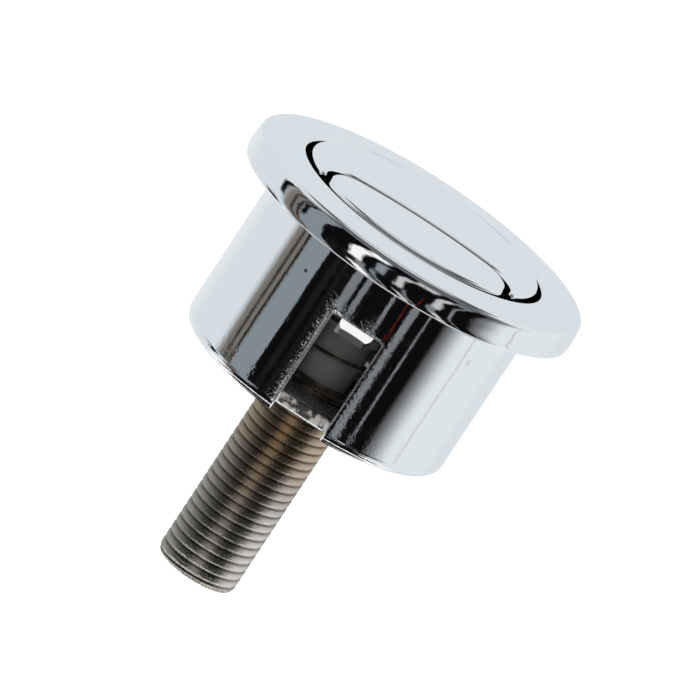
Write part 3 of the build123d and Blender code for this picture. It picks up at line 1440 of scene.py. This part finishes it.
@dataclass
class FullOutline(ButtonOutline):
    """The full flush button from above: a disc with a pocket, which leaves a horn on either side."""

    gap: float = 1.2
    horn: float = 0.7

    def draw(self, shape: Shape, level: float, inset: float) -> bmesh.types.BMFace:
        """Draws the outline.

        Args:
            shape: The shape that it belongs to.
            level: Its height.
            inset: How far it is shrunk on all sides.

        Returns:
            The level face inside it.
        """
        bow, corner, half = self._bow(self.gap + inset)
        flank = self.flank + self.gap + inset
        outer = self.radius - inset
        horn_x = flank + self.horn
        horn_y = -math.sqrt((outer - self.horn)**2 - horn_x**2)
        slant = math.degrees(math.atan2(-horn_y, horn_x))
        start = (outer * horn_x / (outer - self.horn), outer * horn_y / (outer - self.horn))
        pen = Pen(shape, start, level, self.spacing)
        pen.arc((0, 0), 180 + 2 * slant)
        pen.arc((-horn_x, horn_y), 180 - slant)
        pen.line(-flank, corner[1])
        pen.arc((-corner[0], corner[1]), half - 90)
        pen.arc(bow, -2 * half)
        pen.arc(corner, half - 90)
        pen.line(flank, horn_y)
        pen.arc((horn_x, horn_y), 180 - slant)
        return pen.close()


@dataclass
class Button:
    """A button: a plate with rounded edges, a skirt, and a snap leg with its hook in a slot."""

    name: str
    outline: ButtonOutline
    side: Side
    body: Body
    material: bpy.types.Material
    edge_round: float
    edge_steps: int = 5
    top: float = 7.4
    under: float = BUTTON_UNDER
    skirt_bottom: float = 0.6
    skirt_wall: float = 1.6
    leg_half: float = 3.8
    hook_top: float = -12.4
    hook_reach: float = 2.0
    hook_height: float = 3.2
    leg_drop: float = 3.8
    leg_steps: int = 8
    hook_steps: int = 24
    hook_power: float = 0.75

    def build(self) -> bpy.types.Object:
        """Builds the cap, its leg and its hook.

        Returns:
            The finished piece.
        """
        shape = Shape(self.name)
        plate = self.outline.draw(shape, self.top, 0.0)
        rim = list(plate.edges)
        low = shape.drop(rim, self.top - self.skirt_bottom)
        ceiling = self.outline.draw(shape, self.under, self.skirt_wall)
        low += shape.drop(ceiling.edges, self.under - self.skirt_bottom)
        bmesh.ops.triangle_fill(shape.bm, edges=low, use_beauty=True)
        shape.bevel(rim, self.edge_round, self.edge_steps)
        self._leg(shape)
        self._hook(shape)
        return shape.finish(self.material, self.body, sharp=50.0)

    def _leg(self, shape: Shape) -> None:
        """Adds the leg, a strip of the skirt's wall.

        Args:
            shape: The button.
        """
        radius = self.outline.radius
        half = math.degrees(math.asin(self.leg_half / radius))
        radii = (radius - self.skirt_wall, radius)
        levels = (self.hook_top - self.leg_drop, self.under)
        shape.sector(radii, levels, 90 * self.side - half, 2 * half, self.leg_steps)

    def _hook(self, shape: Shape) -> None:
        """Adds the hook, a wedge whose sloping front is a rounded tongue.

        Args:
            shape: The button.
        """
        root = self.outline.radius - self.skirt_wall / 2
        slope = (self.outline.radius + self.hook_reach - root) / self.hook_height
        front = []
        for step in range(self.hook_steps + 1):
            angle = math.pi * step / self.hook_steps
            share = abs(math.cos(angle)) ** self.hook_power
            fall = self.hook_height * math.sin(angle) ** self.hook_power
            place = (math.copysign(self.leg_half * share, math.cos(angle)),
                     self.side * (root + slope * (self.hook_height - fall)), self.hook_top - fall)
            front.append(shape.bm.verts.new(place))
        face = shape.bm.faces.new(front)
        for vert in verts_of(bmesh.ops.extrude_face_region(shape.bm, geom=[face])["geom"]):
            vert.co.y = self.side * root


@dataclass
class FullPlunger:
    """The full flush plunger: a tube with a spring seat and a half ring up to its button."""

    material: bpy.types.Material
    radius: float = 6.0
    rod_bore: float = 3.5
    well: float = 4.9
    well_floor: float = WELL_FLOOR
    bottom: float = -79.0
    head_radius: float = 12.9
    head_wall: float = 3.0
    head_top: float = -7.0
    head_under: float = FULL_SEAT
    under: float = BUTTON_UNDER
    ring_degrees: float = 6.0
    ring_sink: float = 0.5
    ring_inset: float = 0.02
    ring_steps: int = 48
    slot_half: float = 2.9
    slot_floor: float = -19.4
    post_radius: float = 9.3
    post_back: float = 6.0
    overcut: float = 1.0
    bottom_round: float = 0.5
    rounding: float = 0.35
    round_steps: int = 3
    columns: int = 96

    def build(self) -> bpy.types.Object:
        """Turns the plunger and cuts the way of the other one's arm and post.

        Returns:
            The finished piece.
        """
        shape = Shape("full_flush_plunger")
        shape.lathe((
            Corner(self.rod_bore, self.bottom),
            Corner(self.radius, self.bottom, self.bottom_round),
            Corner(self.radius, self.head_under),
            Corner(self.head_radius, self.head_under, self.rounding),
            Corner(self.head_radius, self.head_top, self.rounding),
            Corner(self.well, self.head_top),
            Corner(self.well, self.well_floor),
            Corner(self.rod_bore, self.well_floor),
        ), self.columns, self.round_steps)
        arm = Shape("arm_way")
        arm.block(self.slot_half, 0, -2 * self.radius, 0, self.slot_floor)
        shape.cut(arm)
        post = Shape("post_way")
        segment(post, self.post_radius, self.post_back, self.head_top + self.overcut,
                self.head_under - self.overcut)
        shape.cut(post)
        self._half_ring(shape)
        return shape.finish(self.material, Body.FULL_FLUSH)

    def _half_ring(self, shape: Shape) -> None:
        """Adds the half ring that carries the button.

        Args:
            shape: The plunger.
        """
        radii = (self.head_radius - self.head_wall, self.head_radius - self.ring_inset)
        levels = (self.head_top - self.ring_sink, self.under)
        shape.sector(radii, levels, self.ring_degrees, 180 - 2 * self.ring_degrees, self.ring_steps)


def segment(shape: Shape, radius: float, back: float, high: float, low: float,
            spacing: float = 0.4) -> None:
    """Adds an upright bar with a round front and a flat back.

    Args:
        shape: The shape that it belongs to.
        radius: Radius of its front, about the Z axis.
        back: Distance of its flat back from the axis.
        high: Level of its top.
        low: Level of its bottom.
        spacing: Length of the steps round its front.
    """
    half = math.degrees(math.acos(back / radius))
    start = (-math.sqrt(radius**2 - back**2), -back)
    pen = Pen(shape, start, high, spacing)
    pen.arc((0, 0), 2 * half)
    pen.line(*start)
    shape.extrude(pen.close(), low - high)


@dataclass
class HalfPlunger:
    """The half flush plunger: a rod with a head, and an arm out to a round-fronted post."""

    material: bpy.types.Material
    radius: float = 3.2
    bottom: float = -78.0
    head_radius: float = 4.6
    head_top: float = -9.5
    head_under: float = HALF_SEAT
    bottom_round: float = 0.5
    head_round: float = 0.2
    round_steps: int = 3
    arm_half: float = 2.5
    arm_root: float = 1.0
    arm_sink: float = 0.5
    post_front: float = 8.9
    post_back: float = 6.4
    post_bottom: float = -20.4
    under: float = BUTTON_UNDER
    columns: int = 64

    def build(self) -> bpy.types.Object:
        """Turns the rod and adds the arm and the post.

        Returns:
            The finished piece.
        """
        shape = Shape("half_flush_plunger")
        shape.lathe((
            Corner(0, self.bottom),
            Corner(self.radius, self.bottom, self.bottom_round),
            Corner(self.radius, self.head_under),
            Corner(self.head_radius, self.head_under, self.head_round),
            Corner(self.head_radius, self.head_top, self.head_round),
            Corner(0, self.head_top),
        ), self.columns, self.round_steps, closed=False)
        far = -self.post_back - self.arm_sink
        shape.block(self.arm_half, -self.arm_root, far, self.head_top, self.head_under)
        segment(shape, self.post_front, self.post_back, self.under, self.post_bottom)
        return shape.finish(self.material, Body.HALF_FLUSH)


@dataclass
class CoilSpring:
    """A compression spring with closed turns at both ends."""

    name: str
    material: bpy.types.Material
    body: Body
    press: Press
    radius: float
    wire: float
    low: float
    high: float
    turns: float
    closed_turns: float
    travel: float = 7.0
    closed_pitch_ratio: float = 1.1
    steps: int = 56
    sides: int = 14

    def build(self) -> bpy.types.Object:
        """Spins the wire's section up its helix.

        Returns:
            The finished piece.
        """
        shape = Shape(self.name)
        place = Matrix.Translation((0, -self.radius, self.low + self.wire / 2))
        made = bmesh.ops.create_circle(shape.bm, cap_ends=True, radius=self.wire / 2, segments=self.sides,
                                       matrix=place @ Matrix.Rotation(math.pi / 2, 4, "Y"))
        geom = list(made["verts"][0].link_faces)
        closed = self.closed_pitch_ratio * self.wire
        pitch = (self.high - self.low - self.wire - 2 * self.closed_turns * closed) / self.turns
        for turns, rise in ((self.closed_turns, closed), (self.turns, pitch), (self.closed_turns, closed)):
            geom = shape.turn(geom, round(turns * self.steps), 360 * turns, rise * turns)
        piece = shape.finish(self.material, self.body, sharp=60.0, even=False)
        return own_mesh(piece)


@dataclass(frozen=True)
class Panel:
    """A soft-edged patch of the studio that only mirrors see, in degrees and as a colour."""

    start: float
    end: float
    low: float
    high: float
    colour: Tint
    edge: float = 2.0
    level_edge: float = 4.0


BLACK = (0.004, 0.004, 0.005)
SOOT = (0.011, 0.011, 0.012)
DARK = (0.02, 0.02, 0.022)
SHADE = (0.032, 0.030, 0.028)
DIM = (0.12, 0.12, 0.125)
LEAD = (0.08, 0.078, 0.076)
DUSK = (0.22, 0.23, 0.24)
MIST = (0.48, 0.50, 0.52)
GREY = (0.20, 0.21, 0.22)
PALE = (0.55, 0.56, 0.57)
SLATE = (0.24, 0.28, 0.31)
TAUPE = (0.20, 0.185, 0.17)
WHITE = (1.0, 1.0, 1.0)
RED = (0.16, 0.02, 0.01)
STUD_EDGE = (0.42, 0.42, 0.41)
BRONZE = (0.34, 0.27, 0.19)
STONE = (0.34, 0.335, 0.33)
CREAM = (0.72, 0.70, 0.68)
IVORY = (0.90, 0.89, 0.88)
SKY = (0.735, 0.785, 0.825)
BRIGHT = (0.80, 0.85, 0.87)

PANELS = (
    Panel(-200, 200, -44, 100, SKY, 10, 8),
    Panel(70, 134, -44, 60, BRIGHT, 20, 8),
    Panel(-192, -142, -44, 0, BRIGHT, 24, 8),
    Panel(-72, 72, 0, 74, DARK, 24, 8),
    Panel(-200, 200, 54, 69, DIM, 10, 6),
    Panel(-80, 80, 10, 20, DUSK, 40, 4),
    Panel(-80, 80, 33, 40, MIST, 40, 4),
    Panel(-88, -60, -46, 6, TAUPE, 10),
    Panel(-80, -77.5, -46, 6, DARK, 3),
    Panel(-74, -71.5, -46, 6, DARK, 1.5),
    Panel(-70, -51, -46, 6, SLATE, 2),
    Panel(-51, 40, -46, 6, BLACK, 2),
    Panel(30, 71, -46, 6, DIM, 24),
    Panel(10, 59, -46, 6, BLACK, 6),
    Panel(-43, -38, -46, -12.5, SOOT, 2),
    Panel(-34, -31, -46, -12.5, SOOT, 2),
    Panel(-24, -16.5, -46, -12.5, GREY, 1.5),
    Panel(-13, -9, -46, -12.5, GREY, 1.5),
    Panel(10, 13, -46, -12.5, GREY, 1.2),
    Panel(28, 34, -46, -12.5, GREY, 1.5),
    Panel(43, 45, -46, 2, GREY, 1.2),
    Panel(89.4, 90.6, -46, 6, PALE, 0.8),
    Panel(-84, 78, -84, -40, BLACK, 8, 5),
    Panel(-200, 200, -100, -52, BLACK, 10, 6),
    Panel(-93, -88, -12, 9, BLACK, 3, 3),
    Panel(-112, -99, -34, -18, BLACK, 4, 3),
    Panel(-32, -23, -32, -18, WHITE, 2.5, 2),
    Panel(1, 7, -32, -18, PALE, 2, 2),
    Panel(28, 34, -32, -18, PALE, 3, 2),
    Panel(-70, -66, -12, 4, BLACK, 2, 3),
    Panel(-30, -20, -12.5, 0, WHITE, 2.5, 3),
    Panel(-28, -14, 0, 3.5, WHITE, 5, 2),
    Panel(-11, -4, -11, -2, SLATE, 2, 3),
    Panel(3, 9, -12.5, 0, PALE, 2, 3),
    Panel(6, 22, 0, 3.5, PALE, 5, 2),
    Panel(30, 36, -12.5, 0, PALE, 3, 3),
    Panel(34, 46, 0, 3.5, GREY, 5, 2),
)
STUD_PANELS = (
    Panel(-72, 10, -200, 0, SHADE, 84, 1),
    Panel(-22, 58, -200, 0, SHADE, 24, 1),
    Panel(-13, 6, -70, 0, BRONZE, 14, 12),
    Panel(-13, 6, -200, -70, STONE, 14, 12),
    Panel(65, 128, -66, 0, CREAM, 20, 14),
    Panel(65, 128, -200, -66, IVORY, 20, 14),
    Panel(158, 206, -200, 0, DARK, 12, 1),
)
SCREEN_BACK = (Panel(-45, 40, -200, 0, BLACK, 8, 1),)


@dataclass(frozen=True)
class Card:
    """A flat card that only bright metal mirrors, upright unless it is level."""

    name: str
    middle: Point
    half_width: float
    half_height: float
    colour: Tint
    azimuth: float = 0.0
    level: bool = False
    feather: float = 0.0

    def place(self) -> Matrix:
        """Works out where the card stands.

        Returns:
            The placing of a square of two units on the card.
        """
        turn = Matrix.Rotation(math.radians(self.azimuth), 4, "Z")
        if not self.level:
            turn = turn @ Matrix.Rotation(math.pi / 2, 4, "X")
        size = Matrix.Diagonal((self.half_width, self.half_height, 1, 1))
        return Matrix.Translation(self.middle) @ turn @ size


@dataclass(frozen=True)
class Ring:
    """A level white ring that only bright metal mirrors, as a line along an edge that faces down."""

    name: str
    level: float
    inner: float
    outer: float


RINGS = (
    Ring("flange_ring", -3.0, 40.0, 42.5),
    Ring("low_ring", -100.0, 44.0, 56.0),
    Ring("stud_ring", -92.0, 4.0, 20.0),
)
CARDS = (
    Card("slot_card_front", (0, -28, -38), 5.8, 6.2, WHITE, level=True),
    Card("slot_card_rear", (0, 28, -38), 5.8, 6.2, WHITE, level=True),
    Card("leg_card", (0, -33.5, -17.3), 4.2, 1.3, LEAD),
    Card("red_card", (112, -278, -68.5), 1.6, 24, RED, azimuth=22),
    Card("rear_card", (0, 50, -23), 29, 27, BLACK, feather=0.25),
)


def paint(nodes: Nodes, effects: Effects, panels: Iterable[Panel], base: Tint,
          azimuth: Value, level: Value) -> Value:
    """Lays panels over each other.

    Args:
        nodes: The nodes of the material or the world.
        effects: The shared effects.
        panels: The panels, the last one on top.
        base: The colour below them all.
        azimuth: Where a point lies round the axis, in degrees.
        level: Its elevation or height, in the panels' unit.

    Returns:
        The colour.
    """
    colour: Value = (*base, 1.0)
    for panel in panels:
        mask = nodes.group(effects.panel, {
            "Azimuth": azimuth, "Elevation": level, "Centre": (panel.start + panel.end) / 2,
            "Half Width": (panel.end - panel.start) / 2, "Low": panel.low, "High": panel.high,
            "Edge": panel.edge, "Level Edge": panel.level_edge,
        })["Mask"]
        colour = nodes.mix(mask, colour, (*panel.colour, 1.0))
    return colour


@dataclass
class Studio:
    """White floor and backdrop, and the panels, screen and rings that only the bright metal mirrors."""

    effects: Effects
    floor_level: float = -142.0
    floor_half: float = 4000.0
    floor_colour: Colour = (0.8, 0.8, 0.8, 1.0)
    floor_glow: float = 0.25
    fine_scale: float = 14.0
    curl_scale: float = 6.0
    wobble: float = 2.4
    rim_wobble: float = 6.0
    rim_levels: Pair = (-14.0, -8.0)
    rim_bow: float = 11.0
    rim_middle: float = -10.0
    bow_reach: Pair = (5.0, 14.0)
    bow_levels: Pair = (-36.0, -26.0)
    ragged: float = 7.0
    ragged_levels: Pair = (-34.0, -26.0)
    screen_radius: float = 20.0
    screen_low: float = -118.0
    screen_high: float = -39.6
    columns: int = 96
    lamp_place: Point = (0.1, -1.0, 0.25)
    lamp_size: float = 0.5
    lamp_power: float = 2.5

    def build(self) -> None:
        """Builds the floor, the mirrored props, the lamp and the world."""
        self._floor()
        self._screen()
        for ring in RINGS:
            self._ring(ring)
        for card in CARDS:
            self._card(card)
        self._lamp()
        self._world()

    def _floor(self) -> None:
        """Adds the plain floor, which the camera sees as white."""
        shape = Shape("floor")
        bmesh.ops.create_grid(shape.bm, x_segments=1, y_segments=1, size=self.floor_half,
                              matrix=Matrix.Translation((0, 0, self.floor_level)))
        material, nodes = start_material("floor_white")
        path = nodes.add("ShaderNodeLightPath").outputs
        glow = nodes.math("MULTIPLY", path["Is Camera Ray"], self.floor_glow)
        emission = nodes.add("ShaderNodeEmission", {"Strength": glow}).outputs[0]
        colour = nodes.add("ShaderNodeBsdfDiffuse", {"Color": self.floor_colour}).outputs[0]
        both = nodes.add("ShaderNodeAddShader", {0: colour, 1: emission}).outputs[0]
        nodes.add("ShaderNodeOutputMaterial", {"Surface": both})
        floor = shape.place("floor", material)
        floor.visible_glossy = False

    @staticmethod
    def _mirrored(shape: Shape, material: bpy.types.Material, nodes: Nodes,
                  shader: bpy.types.Node) -> None:
        """Adds a prop that only mirrors see.

        Args:
            shape: Its mesh.
            material: Its material.
            nodes: The material's nodes.
            shader: The node that makes its light.
        """
        nodes.add("ShaderNodeOutputMaterial", {"Surface": shader.outputs[0]})
        prop = shape.place(shape.name, material)
        prop.visible_camera = False
        prop.visible_diffuse = False
        prop.visible_shadow = False

    def _screen(self) -> None:
        """Adds the screen round the stud.

        The stud mirrors its inside, and the cup's lower edge mirrors its back.
        """
        shape = Shape("stud_screen")
        ends = [Corner(self.screen_radius, level) for level in (self.screen_low, self.screen_high)]
        shape.lathe(ends, self.columns, closed=False)
        material, nodes = start_material(shape.name)
        x, y, z = nodes.split(nodes.add("ShaderNodeTexCoord").outputs["Object"])
        level = nodes.math("DIVIDE", z, MM)
        azimuth = nodes.azimuth(x, y)
        inside = paint(nodes, self.effects, STUD_PANELS, STUD_EDGE, azimuth, level)
        outside = paint(nodes, self.effects, SCREEN_BACK, SKY, azimuth, level)
        facing = nodes.add("ShaderNodeNewGeometry").outputs["Backfacing"]
        light = {"Color": nodes.mix(facing, outside, inside), "Strength": 1.0}
        self._mirrored(shape, material, nodes, nodes.add("ShaderNodeEmission", light))

    def _ring(self, ring: Ring) -> None:
        """Adds a ring.

        Args:
            ring: The ring.
        """
        shape = Shape(ring.name)
        shape.lathe((Corner(ring.inner, ring.level), Corner(ring.outer, ring.level)), self.columns,
                    closed=False)
        material, nodes = start_material(ring.name)
        self._mirrored(shape, material, nodes, nodes.add("ShaderNodeEmission", {"Strength": 1.0}))

    def _card(self, card: Card) -> None:
        """Adds a card, clear towards its upright edges if it is feathered.

        Args:
            card: The card.
        """
        shape = Shape(card.name)
        shape.bm.loops.layers.uv.new()
        bmesh.ops.create_grid(shape.bm, x_segments=1, y_segments=1, size=1.0, calc_uvs=True,
                              matrix=card.place())
        material, nodes = start_material(card.name)
        light = nodes.add("ShaderNodeEmission", {"Color": (*card.colour, 1.0), "Strength": 1.0})
        if card.feather:
            u = nodes.split(nodes.add("ShaderNodeTexCoord").outputs["UV"])[0]
            edge = nodes.math("MINIMUM", u, nodes.math("SUBTRACT", 1.0, u))
            clear = nodes.add("ShaderNodeBsdfTransparent").outputs[0]
            mixed = {0: nodes.ramp(edge, 0.0, card.feather), 1: clear, 2: light.outputs[0]}
            light = nodes.add("ShaderNodeMixShader", mixed)
        self._mirrored(shape, material, nodes, light)

    def _lamp(self) -> None:
        """Adds the soft lamp by the camera that lights the plastic, and that mirrors don't see."""
        data = bpy.data.lights.new("soft_lamp", "AREA")
        data.shape = "DISK"
        data.size = self.lamp_size
        data.energy = self.lamp_power
        lamp = bpy.data.objects.new("soft_lamp", data)
        place = Vector(self.lamp_place)
        lamp.matrix_world = Matrix.Translation(place) @ place.to_track_quat("Z", "Y").to_matrix().to_4x4()
        lamp.visible_glossy = False
        bpy.context.scene.collection.objects.link(lamp)

    def _world(self) -> None:
        """Lights the studio evenly, with panels that mirrors alone see."""
        world = bpy.data.worlds.new("studio")
        world.use_nodes = True
        world.cycles.sampling_method = "NONE"
        bpy.context.scene.world = world
        nodes = Nodes(world.node_tree)
        way = nodes.add("ShaderNodeTexCoord").outputs["Generated"]
        azimuth, elevation = self._direction(nodes, way)
        colour = paint(nodes, self.effects, PANELS, WHITE, azimuth, elevation)
        path = nodes.add("ShaderNodeLightPath").outputs
        mirrored = nodes.math("MAXIMUM", path["Is Glossy Ray"], path["Is Transmission Ray"])
        seen = nodes.mix(mirrored, (*WHITE, 1.0), colour)
        background = nodes.add("ShaderNodeBackground", {"Color": seen, "Strength": 1.0}).outputs[0]
        nodes.add("ShaderNodeOutputWorld", {"Surface": background})

    def _direction(self, nodes: Nodes, way: bpy.types.NodeSocket) -> tuple[bpy.types.NodeSocket, ...]:
        """Works out where a direction points, with the panels' edges made uneven.

        The panels bow round the level that the flange's side mirrors, and are ragged at their feet.

        Args:
            nodes: The world's nodes.
            way: The direction.

        Returns:
            Its azimuth and its elevation, in degrees.
        """
        x, y, z = nodes.split(way)
        elevation = nodes.math("DEGREES", nodes.math("ARCSINE", z))
        fine = nodes.math("SUBTRACT", nodes.noise(way, self.fine_scale, detail=4.0), NOISE_MIDDLE)
        curl = nodes.math("SUBTRACT", nodes.noise(way, self.curl_scale, detail=1.0), NOISE_MIDDLE)
        away = nodes.math("ABSOLUTE", nodes.math("SUBTRACT", elevation, self.rim_middle))
        bow = nodes.math("MULTIPLY", nodes.ramp(away, *self.bow_reach, 0.0, self.rim_bow),
                         nodes.ramp(elevation, *self.bow_levels))
        rim = nodes.math("MULTIPLY", curl, nodes.ramp(elevation, *self.rim_levels, 0.0, self.rim_wobble))
        azimuth = nodes.math("MULTIPLY_ADD", fine, self.wobble, nodes.azimuth(x, y))
        azimuth = nodes.math("SUBTRACT", nodes.math("ADD", azimuth, rim), bow)
        feet = nodes.math("MULTIPLY", fine, nodes.ramp(elevation, *self.ragged_levels, self.ragged, 0.0))
        return azimuth, nodes.math("ADD", elevation, feet)


@dataclass
class Camera:
    """The camera at the photo's angle, in degrees and millimetres, and how far it sees, in metres."""

    elevation: float = 14.907
    azimuth: float = -1.5
    roll: float = 33.4
    distance: float = 3456.0
    lens: float = 866.6
    target: Point = (1.829, 0.0, -24.84)
    sight: float = 20.0

    def build(self) -> None:
        """Adds the camera and makes it the scene's own."""
        tilt = math.radians(self.elevation)
        turn = math.radians(self.azimuth)
        reach = math.cos(tilt)
        forward = Vector((-math.sin(turn) * reach, math.cos(turn) * reach, -math.sin(tilt)))
        level = Vector((math.cos(turn), math.sin(turn), 0))
        upright = level.cross(forward)
        roll = math.radians(self.roll)
        right = math.cos(roll) * level + math.sin(roll) * upright
        up = math.cos(roll) * upright - math.sin(roll) * level
        place = (Vector(self.target) - self.distance * forward) * MM
        data = bpy.data.cameras.new("photo_camera")
        data.lens = self.lens
        data.clip_end = self.sight
        data.dof.use_dof = False
        camera = bpy.data.objects.new("photo_camera", data)
        turned = Matrix((right, up, -forward)).transposed().to_4x4()
        camera.matrix_world = Matrix.Translation(place) @ turned
        bpy.context.scene.collection.objects.link(camera)
        bpy.context.scene.camera = camera


def build_pieces(effects: Effects) -> None:
    """Builds every piece of the actuator.

    Args:
        effects: The shared shader effects.
    """
    housing_chrome = HousingChrome("housing_chrome").material(effects)
    button_chrome = ChromePlate("button_chrome", roughness=0.035).material(effects)
    nickel = NickelPlate("stud_nickel").material(effects)
    plastic = MouldedPlastic("plunger_plastic").material(effects)
    steel = SpringSteel("spring_wire").material(effects)
    Housing(housing_chrome).build()
    ThreadedStud(nickel).build()
    Button("full_flush_button", FullOutline(), Side.REAR, Body.FULL_FLUSH, button_chrome,
           edge_round=0.6).build()
    Button("half_flush_button", HalfOutline(), Side.FRONT, Body.HALF_FLUSH, button_chrome,
           edge_round=0.9).build()
    FullPlunger(plastic).build()
    HalfPlunger(plastic).build()
    CoilSpring("full_flush_spring", steel, Body.HOUSING, Press.FULL_FLUSH, radius=10.5, wire=0.8,
               low=CUP_FLOOR, high=FULL_SEAT, turns=3.0, closed_turns=2.0).build()
    CoilSpring("half_flush_spring", steel, Body.FULL_FLUSH, Press.HALF_FLUSH, radius=4.05, wire=0.6,
               low=WELL_FLOOR, high=HALF_SEAT, turns=3.5, closed_turns=1.0).build()


def main() -> None:
    """Builds the whole scene."""
    logging.basicConfig(level=logging.INFO, format="%(name)s: %(message)s")
    effects = Effects()
    build_pieces(effects)
    Studio(effects).build()
    Camera().build()
    bpy.context.scene.view_settings.view_transform = "Standard"


if __name__ == "__main__":
    main()
